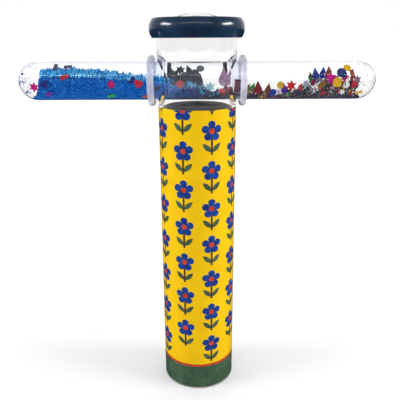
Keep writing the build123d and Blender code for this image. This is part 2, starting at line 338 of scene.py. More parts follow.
@dataclass(frozen=True)
class Film(Finish):
    """Polyester film, dyed and metallised, cut into small shapes: each piece has its own colour."""

    metallic: float = 0.35
    roughness: float = 0.3

    def surface(self, tree: bpy.types.NodeTree, where: bpy.types.NodeSocket):
        """The piece's own colour, made darker and lighter in patches about 0.9 mm across: painted shade and
        sheen of creased film.
        """
        own = add_node(tree, "ShaderNodeVertexColor", {"layer_name": TINT}, {})
        # Painted shade and sheen: noise patches about 0.9 mm across scale the colour from 0.7 to 1.25 times,
        # for the light on creases.
        crease_shade_and_sheen = add_node(tree, "ShaderNodeTexNoise", {}, {"Vector": where, "Scale": 1 / (0.9 * MM)})
        level = add_node(
            tree,
            "ShaderNodeMapRange",
            {},
            {"Value": crease_shade_and_sheen.outputs["Fac"], "From Min": 0.3, "From Max": 0.7, "To Min": 0.7, "To Max": 1.25},
        )
        colour = add_node(
            tree,
            "ShaderNodeVectorMath",
            {"operation": "SCALE"},
            {0: own.outputs["Color"], "Scale": level.outputs["Result"]},
        )
        body = add_node(tree, "ShaderNodeBsdfPrincipled", {}, {
            "Base Color": colour.outputs[0],
            "Roughness": self.roughness,
            "Metallic": self.metallic,
            "Specular IOR Level": 0.1,
        })
        return body.outputs[0]


@dataclass(frozen=True)
class PaleFloor(Finish):
    """A seamless pale studio sheet, lit from below more and more away from the scope."""

    glow_near: float = 0.09
    glow_far: float = 0.5
    near: float = 0.02
    far: float = 0.36

    def surface(self, tree: bpy.types.NodeTree, where: bpy.types.NodeSocket):
        """Near white to the eye; gloss sees it dim, as the unlit table in front is."""
        path = add_node(tree, "ShaderNodeLightPath", {}, {})
        seen = add_node(
            tree,
            "ShaderNodeMath",
            {"operation": "MAXIMUM"},
            {0: path.outputs["Is Camera Ray"], 1: path.outputs["Is Transmission Ray"]},
        )
        mirrored = add_node(
            tree,
            "ShaderNodeMath",
            {"operation": "SUBTRACT", "use_clamp": True},
            {0: path.outputs["Is Glossy Ray"], 1: seen.outputs[0]},
        )
        tones = add_node(
            tree,
            "ShaderNodeMix",
            {"data_type": "RGBA"},
            {"Factor": mirrored.outputs[0], 6: linear("EEF1F5"), 7: linear("2A2A2C")},
        )
        away = add_node(tree, "ShaderNodeVectorMath", {"operation": "LENGTH"}, {0: where})
        glow = add_node(tree, "ShaderNodeMapRange", {"interpolation_type": "SMOOTHSTEP"}, {
            "Value": away.outputs["Value"],
            "From Min": self.near,
            "From Max": self.far,
            "To Min": self.glow_near,
            "To Max": self.glow_far,
        })
        shown = add_node(
            tree, "ShaderNodeMath", {"operation": "MULTIPLY"}, {0: seen.outputs[0], 1: glow.outputs["Result"]}
        )
        body = add_node(tree, "ShaderNodeBsdfPrincipled", {}, {
            "Base Color": tones.outputs[2],
            "Roughness": 0.9,
            "Specular IOR Level": 0.0,
            "Emission Color": linear("FFFFFF"),
            "Emission Strength": shown.outputs[0],
        })
        return body.outputs[0]


# ---- modelling ----------------------------------------------------------------------------------

TINT = "tint"  # the colour attribute of a piece cut from dyed film


class Editing:
    """Edit mode on one object, with all else deselected."""

    def __init__(self, obj: bpy.types.Object) -> None:
        """Keeps the object to edit."""
        self.obj = obj

    def __enter__(self) -> bpy.types.Object:
        """Selects the object alone and enters edit mode with everything in it selected."""
        pick(self.obj)
        bpy.ops.object.mode_set(mode="EDIT")
        bpy.ops.mesh.select_mode(type="VERT")
        bpy.ops.mesh.select_all(action="SELECT")
        return self.obj

    def __exit__(self, *_: object) -> None:
        """Returns to object mode."""
        bpy.ops.object.mode_set(mode="OBJECT")


def pick(*objs: bpy.types.Object) -> None:
    """Selects only these objects and makes the first active."""
    for other in bpy.context.selected_objects:
        other.select_set(False)
    for obj in objs:
        obj.select_set(True)
    bpy.context.view_layer.objects.active = objs[0]


def named(name: str) -> bpy.types.Object:
    """Names the active object and its mesh, and returns it."""
    obj = bpy.context.view_layer.objects.active
    obj.name = name
    obj.data.name = name
    return obj


def settle(obj: bpy.types.Object, smooth_angle: float = 30.0) -> bpy.types.Object:
    """Leaves a piece at the origin with its place in its mesh, faces outwards and round parts smooth.

    Args:
        obj: the piece.
        smooth_angle: the greatest angle between faces, in degrees, that shades as round.

    Returns:
        The piece.
    """
    pick(obj)
    bpy.ops.object.transform_apply(location=True, rotation=True, scale=True)
    with Editing(obj):
        bpy.ops.mesh.normals_make_consistent(inside=False)
    pick(obj)
    bpy.ops.object.shade_smooth_by_angle(angle=radians(smooth_angle))
    return obj


def lathe(name: str, outline: list[Point], segments: int, ring: bool = False) -> bpy.types.Object:
    """Turns an outline about Z, ring by ring.

    Args:
        name: the piece's name.
        outline: radius and height of each ring, in mm.
        segments: how many steps make a turn.
        ring: whether the last ring meets the first, as round a bored piece; else both ends are closed.

    Returns:
        The closed piece.
    """
    radius, height = outline[0]
    bpy.ops.mesh.primitive_circle_add(vertices=segments, radius=radius * MM, location=(0, 0, height * MM))
    obj = named(name)
    settle_place(obj)
    with Editing(obj):
        for next_radius, next_height in outline[1:] + outline[:1] * ring:
            rise = (next_height - height) * MM
            bpy.ops.mesh.extrude_region_move(TRANSFORM_OT_translate={"value": (0, 0, rise)})
            grow = next_radius / radius
            centre = (0, 0, next_height * MM)
            bpy.ops.transform.resize(value=(grow, grow, 1), center_override=centre)
            radius, height = next_radius, next_height
        bpy.ops.mesh.select_all(action="SELECT")
        if ring:
            bpy.ops.mesh.remove_doubles(threshold=0.002 * MM)
        else:
            bpy.ops.mesh.fill_holes(sides=0)
    return settle(obj)


def settle_place(obj: bpy.types.Object) -> None:
    """Moves an object's place, turn and size into its mesh."""
    pick(obj)
    bpy.ops.object.transform_apply(location=True, rotation=True, scale=True)


def cut(obj: bpy.types.Object, tool: bpy.types.Object, operation: str = "DIFFERENCE") -> None:
    """Cuts a piece with another, which is then removed.

    Args:
        obj: the piece that stays.
        tool: the piece that cuts.
        operation: what Boolean does with the two.
    """
    pick(obj)
    step = obj.modifiers.new("cut", "BOOLEAN")
    step.operation = operation
    step.solver = "EXACT"
    step.object = tool
    bpy.ops.object.modifier_apply(modifier=step.name)
    bpy.data.objects.remove(tool)


def flat(name: str, outline: list[Point], lift: float = 0.0) -> bpy.types.Object:
    """Fills a flat outline.

    Args:
        name: the piece's name.
        outline: its corners in order, in mm.
        lift: how far it lies over the plane, in mm.

    Returns:
        A flat mesh in the XY plane.
    """
    curve = bpy.data.curves.new(name, "CURVE")
    curve.dimensions = "2D"
    curve.fill_mode = "BOTH"
    spline = curve.splines.new("POLY")
    spline.points.add(len(outline) - 1)
    for point, (x, y) in zip(spline.points, outline):
        point.co = (x * MM, y * MM, 0, 1)
    spline.use_cyclic_u = True
    obj = bpy.data.objects.new(name, curve)
    bpy.context.scene.collection.objects.link(obj)
    pick(obj)
    bpy.ops.object.convert(target="MESH")
    obj = named(name)
    obj.data.transform(Matrix.Translation((0, 0, lift * MM)))
    return obj


def join(name: str, pieces: list[bpy.types.Object]) -> bpy.types.Object:
    """Joins pieces into one and names it."""
    pick(*pieces)
    if len(pieces) > 1:
        bpy.ops.object.join()
    return named(name)


def dress(piece: bpy.types.Object, finish: Finish) -> None:
    """Gives a piece one finish."""
    piece.data.materials.clear()
    piece.data.materials.append(finish.build())


def hand_over(piece: bpy.types.Object, body: str, slot: str, *nodes: str) -> None:
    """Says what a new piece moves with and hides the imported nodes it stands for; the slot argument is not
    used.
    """
    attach(piece, body)
    if nodes:
        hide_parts(*nodes)
    LOG.info("%s rides on %s, %d faces", piece.name, body, len(piece.data.polygons))


# ---- the finishes of this scope -----------------------------------------------------------------

TUBE_ACRYLIC = ClearAcrylic("polished_acrylic_tube")
WAND_ACRYLIC = ClearAcrylic("oil_filled_acrylic_wand", ior=1.47, haze=0.006)
VINYL = SoftVinyl("milky_soft_vinyl", shade="D6DCEE", milk=0.45)
CLEAR_DOME = ClearAcrylic("clear_moulded_dome", ior=1.14, haze=0.0)
HUB = ClearAcrylic("clear_soft_hub", ior=1.25, tint="EEF0F6")
PAPER = Ink("yellow_coated_paper", light="FFD208", dark="FCC804", cloud=14.0)
MOULDED_RING = Plastic(
    "glossy_moulded_abs", light="183450", dark="10263A", roughness=0.2, relief=0.02, coat=0.15
)
MATT_BLACK = Plastic("matt_black_styrene", light="33373C", dark="282C31", roughness=0.5)
MASK_BLACK = Plastic("black_mask", light="191C20", dark="121518", roughness=0.9)
BLACK_CARD = Plastic("black_card_tube", light="2A2B2E", dark="1E1F22", roughness=0.8, grain=0.25, relief=0.3)
GREY_FOAM = Plastic("grey_foam", light="6E7176", dark="4A4D52", roughness=0.95, grain=0.9, relief=0.9)
BLACK_TAPE = Plastic("black_cloth_tape", light="26272A", dark="191A1C", roughness=0.6, grain=0.35, relief=0.5)
MIRROR = MirrorGlass("front_surface_mirror")
BLUE_BED_FINISH = GlitterBed(
    "blue_packed_glitter",
    shades=((0.0, "0C4698"), (0.3, "1456AC"), (0.6, "1B62BC"), (0.85, "2270C8"), (1.0, "3488D2")),
    metallic=0.0,
)
MIXED_BED_FINISH = GlitterBed(
    "mixed_packed_glitter",
    shades=(
        (0.0, "22242E"),
        (0.25, "3C3E4A"),
        (0.45, "303242"),
        (0.6, "5A5662"),
        (0.72, "6A2440"),
        (0.82, "24406C"),
        (0.92, "6C6458"),
        (1.0, "8A8C96"),
    ),
    metallic=0.0,
)
DYED_FILM = Film("dyed_polyester_film", metallic=0.1)
BRIGHT_FILM = Film("metallised_polyester_film", metallic=0.0, roughness=0.2)
BUBBLE = ClearAcrylic("air_bubble", ior=0.76)
CYANS = ("34ACEE", "2294DE", "62C8F6", "1C7CD0", "8AD8FA", "3CB4F2", "1A62BC")
SLATES = ("26303A", "303C48", "1E2834", "3A4450")
NAVIES = ("1C2C7C", "4A2C7A", "2A1C5C", "1A50A8", "48B8DC", "2038A0", "203048")
MIXED = (
    "3A3E50",
    "7C2C48",
    "2C2E3C",
    "2E7A46",
    "C8922A",
    "8A8E9C",
    "28347C",
    "6A4030",
    "E4E4EA",
    "A82868",
    "34364A",
    "C03038",
)


# ---- the clear tube and the printed paper -------------------------------------------------------


@dataclass
class Barrel:
    """The clear tube and the yellow paper that lies against its inner wall."""

    edge: float = 0.35
    hole: float = 10.0
    segments: int = 256
    paper_thick: float = 0.2

    def __post_init__(self) -> None:
        """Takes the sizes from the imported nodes."""
        low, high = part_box("outer_tube")
        self.radius = high[0] / MM
        self.top = high[2] / MM
        self.wall = 1.6
        self.bore = self.radius - self.wall
        low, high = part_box("printed_sleeve")
        self.paper_low, self.paper_top = low[2] / MM, high[2] / MM
        low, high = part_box("wand_tube")
        self.cross_height = (low[2] + high[2]) / 2 / MM

    @property
    def paper_face(self) -> float:
        """The paper's visible radius: a hair inside the acrylic, as where it lies wetly against it."""
        return self.bore + 0.005

    def tube(self) -> bpy.types.Object:
        """Models the clear tube with broken edges and a cross hole through both walls."""
        outer, inner, edge, top = self.radius, self.bore, self.edge, self.top
        outline = [
            (inner, edge),
            (inner + edge, 0.0),
            (outer - edge, 0.0),
            (outer, edge),
            (outer, top - edge),
            (outer - edge, top),
            (inner + edge, top),
            (inner, top - edge),
        ]
        tube = lathe("clear_tube", outline, self.segments, ring=True)
        bpy.ops.mesh.primitive_cylinder_add(
            vertices=96,
            radius=self.hole * MM,
            depth=3 * outer * MM,
            location=(0, 0, self.cross_height * MM),
            rotation=(0, pi / 2, 0),
        )
        cut(tube, named("hole_cutter"))
        return settle(tube)

    def paper(self) -> bpy.types.Object:
        """Models the rolled paper as one closed ring."""
        face, inner = self.paper_face, self.bore - self.paper_thick
        low, top = self.paper_low, self.paper_top
        outline = [(inner, low), (face, low), (face, top), (inner, top)]
        return lathe("printed_paper", outline, self.segments, ring=True)

    def build(self) -> None:
        """Makes both pieces and hands them over."""
        tube = self.tube()
        dress(tube, TUBE_ACRYLIC)
        hand_over(tube, "scope", "clear_acrylic", "outer_tube")
        paper = self.paper()
        dress(paper, PAPER)
        hand_over(paper, "scope", "printed_paper", "printed_sleeve")


class Colour(Enum):
    """The print's inks, from the first printed to the last, with light and dark shade and cloud size."""

    GREEN = ("green_ink", "4F6C50", "3A5640", 4.0)
    BROWN = ("brown_ink", "5E3A26", "433626", 7.0)
    BLUE = ("blue_ink", "1C50A8", "0E2C70", 1.6)
    RED = ("red_ink", "DC4A30", "BE3822", 2.5)


@dataclass
class Print:
    """The paper's pattern: one plain sprig in an even half-drop repeat, over a green band with a red line."""

    barrel: Barrel
    first_layer: float = 0.018
    layer: float = 0.012
    film: float = 0.004
    slice_step: float = 1.0
    hair: float = 0.0004
    columns: int = 8
    row: float = 17.0
    petals: int = 5
    flower: float = 4.4
    heart: float = 1.2
    stem: float = 10.0
    stem_width: float = 0.9
    leaf: float = 5.6
    leaf_width: float = 2.2
    leaf_foot: float = 1.0
    band: float = 12.0
    below: float = 1.0
    stripe: float = 1.2

    @property
    def around(self) -> float:
        """The way round the paper."""
        return 2 * pi * self.barrel.bore

    def strip(self, low: float, high: float) -> list[Point]:
        """Returns a plain stripe all the way round, between two heights."""
        half = self.around / 2
        return [(-half, low), (half, low), (half, high), (-half, high)]

    def round_shape(self, across: float, up: float, reach: float, petals: int = 0) -> list[Point]:
        """Returns a disc, or a flower of equal round petals when it has any.

        Args:
            across: its middle's place round the paper, in mm.
            up: its middle's height, in mm.
            reach: its greatest radius, in mm.
            petals: how many petals it has.

        Returns:
            Its outline.
        """
        steps = 60
        rim = []
        for i in range(steps):
            angle = 2 * pi * i / steps
            notch = 0.5 + 0.5 * sqrt(abs(cos(petals * angle / 2))) if petals else 1.0
            rim.append((across + reach * notch * sin(angle), up + reach * notch * cos(angle)))
        return rim

    def leaf_shape(self, across: float, up: float, side: int) -> list[Point]:
        """Returns a pointed leaf that rises from the stem at 45 degrees to one side."""
        steps = 8
        there, back = [], []
        for i in range(steps + 1):
            along = self.leaf * i / steps / sqrt(2)
            half = self.leaf_width / 2 * sin(pi * i / steps) / sqrt(2)
            there.append((across + side * (along + half), up + along - half))
            back.append((across + side * (along - half), up + along + half))
        return there + back[-2:0:-1]

    def shapes(self) -> dict[Colour, list[list[Point]]]:
        """Returns every outline of the pattern by its ink."""
        shapes: dict[Colour, list[list[Point]]] = {colour: [] for colour in Colour}
        shapes[Colour.GREEN].append(self.strip(-self.below, self.band))
        shapes[Colour.RED].append(self.strip(self.band, self.band + self.stripe))
        rows = int((self.barrel.paper_top - self.band) / self.row) + 1
        half = self.stem_width / 2
        for column in range(self.columns):
            across = self.around * ((column + 0.5) / self.columns - 0.5)
            foot = self.band + 2 * self.stripe + self.row / 2 * (column % 2)
            for up in (foot + self.row * number for number in range(rows)):
                top = up + self.stem
                stem = [(across - half, up), (across + half, up), (across + half, top), (across - half, top)]
                shapes[Colour.BROWN].append(stem)
                foot_of_leaf = up + self.leaf_foot
                shapes[Colour.GREEN] += [self.leaf_shape(across, foot_of_leaf, side) for side in (-1, 1)]
                shapes[Colour.BLUE].append(self.round_shape(across, top, self.flower, self.petals))
                shapes[Colour.RED].append(self.round_shape(across, top, self.heart))
        return shapes

    def wrap(self, piece: bpy.types.Object, lift: float) -> None:
        """Slices a flat piece into narrow strips and bends it round the barrel.

        Args:
            piece: the flat piece, with across along X and up along Y.
            lift: its height over the paper, in mm.
        """
        reach = 0.75 * self.around
        with Editing(piece):
            for level, keep_above in ((self.barrel.paper_low, True), (self.barrel.paper_top, False)):
                bpy.ops.mesh.select_all(action="SELECT")
                bpy.ops.mesh.bisect(
                    plane_co=(0, level * MM, 0),
                    plane_no=(0, 1, 0),
                    clear_inner=keep_above,
                    clear_outer=not keep_above,
                )
            place = -reach
            while place < reach:
                bpy.ops.mesh.select_all(action="SELECT")
                bpy.ops.mesh.bisect(plane_co=(place * MM, 0, 0), plane_no=(1, 0, 0))
                place += self.slice_step
        face = self.barrel.paper_face + lift
        for vertex in piece.data.vertices:
            angle = vertex.co.x / MM / self.barrel.bore
            radius = face + vertex.co.z / MM
            vertex.co = (radius * sin(angle) * MM, -radius * cos(angle) * MM, vertex.co.y)

    def build(self) -> None:
        """Prints each ink in turn and hands it over."""
        shapes = self.shapes()
        for number, colour in enumerate(Colour):
            label, light, dark, cloud = colour.value
            plates = []
            for i, outline in enumerate(shapes[colour]):
                # Neighbours of one ink lie a hair apart, so that they don't flicker where they meet.
                plates.append(flat(f"{label}_{i}", outline, self.hair * (i % 9)))
            piece = join(label, plates)
            self.wrap(piece, self.first_layer + number * self.layer)
            pick(piece)
            body = piece.modifiers.new("film", "SOLIDIFY")
            body.thickness = self.film * MM
            body.offset = -1.0
            bpy.ops.object.modifier_apply(modifier=body.name)
            settle(piece)
            dress(piece, Ink(label, light=light, dark=dark, cloud=cloud))
            hand_over(piece, "scope", "printed_paper")


# ---- the wand -----------------------------------------------------------------------------------


@dataclass
class Wand:
    """The oil-filled wand: acrylic and oil bend light alike, so one skin stands for both."""

    segments: int = 192
    ball_steps: int = 20

    def __post_init__(self) -> None:
        """Takes the wand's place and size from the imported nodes."""
        low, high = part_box("wand_tube")
        self.radius = (high[2] - low[2]) / 2 / MM
        self.height = (high[2] + low[2]) / 2 / MM
        self.reach = -low[0] / MM
        self.straight = self.reach - self.radius

    def along_x(self, piece: bpy.types.Object) -> bpy.types.Object:
        """Lays a piece that was turned about Z along X at the wand's height."""
        lay = Matrix.Translation((0, 0, self.height * MM)) @ Matrix.Rotation(pi / 2, 4, "Y")
        piece.data.transform(lay)
        return piece

    def skin(self) -> bpy.types.Object:
        """Models the outside: a straight stretch with a half ball at each end."""
        ball = []
        for i in range(self.ball_steps + 1):
            angle = pi / 2 * i / self.ball_steps
            ball.append((max(self.radius * sin(angle), 0.01), self.straight + self.radius * cos(angle)))
        outline = [(r, -z) for r, z in ball] + ball[::-1]
        return settle(self.along_x(lathe("wand_skin", outline, self.segments)))

    def build(self) -> None:
        """Makes the skin and hands it over."""
        skin = self.skin()
        dress(skin, WAND_ACRYLIC)
        hand_over(skin, "wand", "wand_acrylic", "wand_tube", "wand_end_cap", "wand_oil")


@dataclass
class SettledBed:
    """Glitter that has sunk to the wand's lower side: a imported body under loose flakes."""

    wand: Wand
    name: str
    node: str
    top: tuple[Point, ...]
    finish: Finish
    loose: tuple["Scatter", ...] = ()
    film_room: float = 0.55
    wall: float = 1.05
    cap_bore: float = 6.22
    cap_depth: float = 4.2
    step: float = 0.8
    ripple: float = 0.35
    segments: int = 48

    def height(self, x: float) -> float:
        """Returns the bed's height over the wand's axis at a place along it."""
        places = self.top
        for (x0, z0), (x1, z1) in zip(places, places[1:]):
            if x0 <= x <= x1:
                return z0 + (z1 - z0) * (x - x0) / (x1 - x0)
        return places[0][1] if x < places[0][0] else places[-1][1]

    def inner_radius(self, x: float) -> float:
        """Returns the radius of the space in the wand at a place along it, less a hair."""
        in_cap = x > self.wand.straight - self.cap_depth
        bore = self.cap_bore if in_cap else self.wand.radius - self.wall
        past = abs(x) - self.wand.straight
        if past <= 0:
            return bore
        return sqrt(max(bore**2 - past**2, 0.01))

    def body_radius(self, x: float) -> float:
        """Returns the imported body's radius, which leaves room for the films that lie against the wall."""
        return max(self.inner_radius(x) - self.film_room, 0.2)

    def body(self) -> bpy.types.Object:
        """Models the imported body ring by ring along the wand, and planes its top off."""
        first, last = self.top[0][0], self.top[-1][0]
        steps = max(int((last - first) / self.step), 8)
        places = [first + (last - first) * i / steps for i in range(steps + 1)]
        outline = [(self.body_radius(x), x) for x in places]
        piece = self.wand.along_x(lathe(self.name, outline, self.segments))
        for (x0, z0), (x1, z1) in zip(self.top, self.top[1:]):
            middle = (x0 + x1) / 2
            slope = atan2(z1 - z0, x1 - x0)
            self.plane_off(piece, middle, (z0 + z1) / 2, slope, (x0, x1))
        return piece

    def plane_off(
        self, piece: bpy.types.Object, x: float, z: float, slope: float, span: tuple[float, float]
    ) -> None:
        """Moves what stands over one run of the top down to it, with the unevenness of loose flakes."""
        base = self.wand.height * MM
        for vertex in piece.data.vertices:
            along = vertex.co.x / MM
            if not span[0] - 1e-4 <= along <= span[1] + 1e-4:
                continue
            level = z + (along - x) * sin(slope) / cos(slope)
            level += self.ripple * sin(along * 3.1 + vertex.co.y / MM) * sin(along * 1.3)
            level = max(level, -self.body_radius(along))
            if (vertex.co.z - base) / MM > level:
                vertex.co.z = base + level * MM
                reach = sqrt(max(self.body_radius(along) ** 2 - level**2, 0.0)) * MM
                vertex.co.y = max(-reach, min(reach, vertex.co.y))

    def build(self) -> None:
        """Makes the bed and its loose flakes and hands them over."""
        body = settle(self.body(), 60.0)
        dress(body, self.finish)
        hand_over(body, "wand", self.node, self.node)
        for scatter in self.loose:
            flakes = scatter.build(self)
            dress(flakes, BRIGHT_FILM)
            hand_over(flakes, "wand", self.node)


PIECE_ROOM = 0.12  # between a flat piece's back and the wall's inside, in mm
WALL_SHARE = 0.97  # how far up or down the wall a piece may lie, as a share of its room


def against_wall(bed: SettledBed, x: float, height: float, size: float, back: float) -> Matrix:
    """Returns the place of a flat piece that lies against the inside of the wand's front wall.

    Args:
        bed: a bed of the wand, which knows the space inside.
        x: the place along the wand.
        height: how far over the wand's axis.
        size: the piece's height.
        back: how far behind the wall it lies.

    Returns:
        The place, turned to lie along the wall.
    """
    room = sqrt(max(bed.inner_radius(x) ** 2 - (size / 2) ** 2, 1.0)) - PIECE_ROOM - back
    height = max(min(height, room * WALL_SHARE), -room * WALL_SHARE)
    axis = Matrix.Translation((x * MM, 0, bed.wand.height * MM))
    tilt = Matrix.Rotation(-asin(height / room), 4, "X")
    return axis @ tilt @ Matrix.Translation((0, -room * MM, 0))


@dataclass(frozen=True)
class Scatter:
    """Loose flakes along a stretch of a bed, from its top to some way over it."""

    name: str
    span: Point
    rise: Point
    flakes: int
    size: Point
    shades: tuple[str, ...]
    seed: int
    lean: float = 0.3
    slim: float = 1.0
    yaw: float = 0.5
    back: Point = (0.35, 1.1)

    def build(self, bed: SettledBed) -> bpy.types.Object:
        """Scatters pointed flakes, each with its own place, turn and shade."""
        draw = random.Random(self.seed)
        base = shard("flake")
        copies = []
        for _ in range(self.flakes):
            x = draw.uniform(*self.span)
            size = draw.uniform(*self.size)
            # Most flakes lie low, and few stand high; the heap swells and sinks along the wand.
            swell = 0.78 + 0.22 * sin(1.3 * x) * sin(0.47 * x + 1.0)
            low, high = self.rise
            height = bed.height(x) + low + (high - low) * swell * draw.random() ** 1.5
            place = against_wall(bed, x, height, size, draw.uniform(*self.back))
            lean = draw.uniform(-self.lean, self.lean)
            turn = Euler((0, lean, draw.uniform(-self.yaw, self.yaw))).to_matrix().to_4x4()
            grow = Matrix.Diagonal((size * self.slim, size, size, 1.0))
            copies.append(stamped(base, place @ turn @ grow, draw.choice(self.shades)))
        bpy.data.objects.remove(base)
        return join(self.name, copies)


def shard(name: str) -> bpy.types.Object:
    """Models one pointed flake of film at size 1, standing in the XZ plane with its middle at the origin."""
    flake = flat(name, [(-0.22, -0.5), (0.24, -0.42), (0.2, 0.1), (0.02, 0.5), (-0.24, 0.0)])
    with Editing(flake):
        bpy.ops.mesh.extrude_region_move(TRANSFORM_OT_translate={"value": (0, 0, 0.05 * MM)})
    flake.data.transform(Matrix.Rotation(pi / 2, 4, "X"))
    return settle(flake)


def stamped(base: bpy.types.Object, place: Matrix, code: str) -> bpy.types.Object:
    """Copies a small piece with its own mesh, place and colour.

    Args:
        base: the piece to copy.
        place: where the copy goes.
        code: its colour.

    Returns:
        The copy.
    """
    mesh = base.data.copy()
    mesh.transform(place)
    tint = mesh.color_attributes.new(TINT, "FLOAT_COLOR", "POINT")
    tint.data.foreach_set("color", linear(code) * len(mesh.vertices))
    copy = bpy.data.objects.new(base.name, mesh)
    bpy.context.scene.collection.objects.link(copy)
    return copy


class Shape(Enum):
    """The outlines that the confetti is cut to."""

    STAR = "star"
    HEART = "heart"
    DROP = "drop"
    DISC = "disc"
    SLIVER = "sliver"

    def outline(self) -> list[Point]:
        """Returns the outline for a piece of size 1."""
        if self is Shape.STAR:
            radii = (0.5, 0.26)
            return [(radii[i % 2] * sin(pi * i / 6), radii[i % 2] * cos(pi * i / 6)) for i in range(12)]
        if self is Shape.HEART:
            side = 0.6
            half = side / 2 / sqrt(2)
            lobe = [
                (half + side / 2 * cos(radians(a)), half + side / 2 * sin(radians(a)))
                for a in range(-45, 136, 20)
            ]
            return [(0, -side / sqrt(2))] + lobe + [(-x, z) for x, z in lobe[::-1]]
        if self is Shape.DROP:
            round_part = [(0.3 * cos(radians(a)), -0.2 + 0.3 * sin(radians(a))) for a in range(-205, 26, 15)]
            return round_part + [(0, 0.5)]
        if self is Shape.DISC:
            return [(0.5 * cos(2 * pi * i / 20), 0.5 * sin(2 * pi * i / 20)) for i in range(20)]
        return [(-0.25, -0.5), (0.25, -0.5), (0.25, 0.5), (-0.25, 0.5)]


@dataclass(frozen=True)
class Piece:
    """One piece of confetti: its place along and over the wand's axis, turn, size, and how far back."""

    along: float
    height: float
    turn: float
    size: float
    back: float
    code: str


@dataclass
class Confetti:
    """The larger film pieces that stand behind the wand's front wall."""

    bed: SettledBed

    PIECES = {
        Shape.STAR: (
            Piece(-68.4, -1.8, 8, 4.5, 0.0, "C2187F"),
            Piece(-36.0, -0.9, 20, 4.0, 0.0, "C01E6A"),
            Piece(-6.9, 4.4, 10, 4.4, 0.0, "1B2A3A"),
            Piece(5.4, -1.9, 0, 4.4, 0.0, "8CC8DC"),
            Piece(10.1, -3.5, 25, 3.6, 0.0, "E0405E"),
            Piece(39.4, -1.6, 5, 4.8, 0.0, "C22832"),
            Piece(45.6, -0.9, 15, 3.8, 0.0, "9CA3B4"),
            Piece(49.5, -2.6, 0, 4.4, 0.2, "E4E6EC"),
            Piece(61.4, -4.2, 10, 3.0, 0.0, "F2F0F2"),
            Piece(67.0, 0.4, 0, 4.0, 0.3, "8C6A80"),
        ),
        Shape.HEART: (
            Piece(-63.6, -1.2, -20, 3.8, 0.0, "23307E"),
            Piece(-24.6, -1.0, 15, 3.6, 0.0, "C02A3A"),
            Piece(-1.9, 1.6, -12, 6.0, 0.0, "303C48"),
            Piece(56.0, 0.8, 20, 4.0, 0.0, "C81C86"),
            Piece(65.2, -1.6, 30, 3.6, 0.2, "C83440"),
        ),
        Shape.DROP: (
            Piece(-62.6, -4.4, 60, 3.8, 0.0, "6A3C9A"),
            Piece(-9.6, 1.2, 12, 5.0, 0.2, "2A3642"),
            Piece(-3.6, 4.6, -20, 4.2, 0.3, "26303A"),
            Piece(1.0, 1.0, 8, 5.2, 0.1, "22304A"),
            Piece(11.0, 1.9, 0, 7.4, 0.0, "8C6C90"),
            Piece(21.3, -2.3, 30, 4.0, 0.0, "6A5A3C"),
            Piece(23.4, -2.2, 20, 4.2, 0.4, "2F8A44"),
            Piece(25.6, -2.2, -5, 5.8, 0.0, "7A2430"),
            Piece(29.9, -2.6, 6, 4.6, 0.0, "6C4430"),
            Piece(33.5, -3.6, 10, 3.8, 0.2, "F0F0F2"),
            Piece(36.6, -2.6, -8, 4.4, 0.0, "46308C"),
            Piece(49.4, 3.0, -6, 5.0, 0.0, "2A3F8C"),
            Piece(52.7, 3.2, 8, 5.2, 0.2, "24388A"),
            Piece(55.2, 3.9, 5, 4.0, 0.5, "7A4A3A"),
            Piece(62.6, -0.6, 0, 4.2, 0.2, "ECEAEC"),
        ),
        Shape.DISC: (
            Piece(-10.3, 3.4, 0, 2.6, 0.0, "26303A"),
            Piece(-7.0, -0.8, 0, 3.0, 0.0, "B82C3C"),
            Piece(1.4, 4.9, 0, 3.2, 0.0, "5A6268"),
            Piece(31.9, -4.2, 0, 3.4, 0.1, "2240A0"),
            Piece(34.9, -1.4, 0, 3.0, 0.0, "D0A83A"),
            Piece(58.6, -0.4, 0, 3.8, 0.0, "E0B428"),
            Piece(60.3, 3.2, 0, 4.0, 0.0, "2C3C74"),
            Piece(62.9, 4.8, 0, 3.2, 0.3, "E2B020"),
        ),
        Shape.SLIVER: (
            Piece(-59.4, 5.6, 2, 3.4, 0.0, "4C4A62"),
            Piece(-55.4, 2.0, 70, 3.4, 0.0, "B8323C"),
            Piece(-54.2, 5.6, 86, 3.4, 0.0, "4A4E74"),
            Piece(-36.6, -5.4, 75, 3.2, 0.0, "34B04C"),
            Piece(-27.2, 0.6, 35, 3.2, 0.0, "26347E"),
            Piece(-21.8, -5.6, 75, 3.0, 0.0, "D2603A"),
            Piece(-16.8, -2.4, 70, 2.6, 0.0, "1C2440"),
            Piece(-5.4, 1.0, 10, 4.6, 0.1, "2C3844"),
            Piece(16.9, -1.6, 4, 5.2, 0.0, "5C2438"),
            Piece(52.2, -1.2, 60, 3.6, 0.1, "8A6234"),
            Piece(65.0, 2.5, -15, 3.6, 0.2, "8C4436"),
            Piece(68.6, -4.2, 65, 2.8, 0.0, "D8B040"),
        ),
    }

    def cut_out(self, shape: Shape) -> bpy.types.Object:
        """Models one piece of a shape at size 1, standing in the XZ plane, with its film's thickness."""
        blank = flat(shape.value, shape.outline())
        with Editing(blank):
            bpy.ops.mesh.remove_doubles(threshold=0.001 * MM)
            bpy.ops.mesh.dissolve_limited(angle_limit=radians(1))
            bpy.ops.mesh.select_all(action="SELECT")
            bpy.ops.mesh.extrude_region_move(TRANSFORM_OT_translate={"value": (0, 0, 0.05 * MM)})
        blank.data.transform(Matrix.Rotation(pi / 2, 4, "X"))
        return settle(blank)

    def build(self) -> None:
        """Places every piece, joins them by shape and hands them over."""
        for shape, pieces in self.PIECES.items():
            base = self.cut_out(shape)
            copies = []
            for one in pieces:
                place = against_wall(self.bed, one.along, one.height, one.size, one.back)
                turn = Matrix.Rotation(radians(one.turn), 4, "Y")
                copies.append(stamped(base, place @ turn @ Matrix.Scale(one.size, 4), one.code))
            bpy.data.objects.remove(base)
            group = join(f"{shape.value}_pieces", copies)
            dress(group, DYED_FILM)
            slot = f"{shape.value}_film"
            hand_over(group, "wand", slot, f"{shape.value}_confetti")


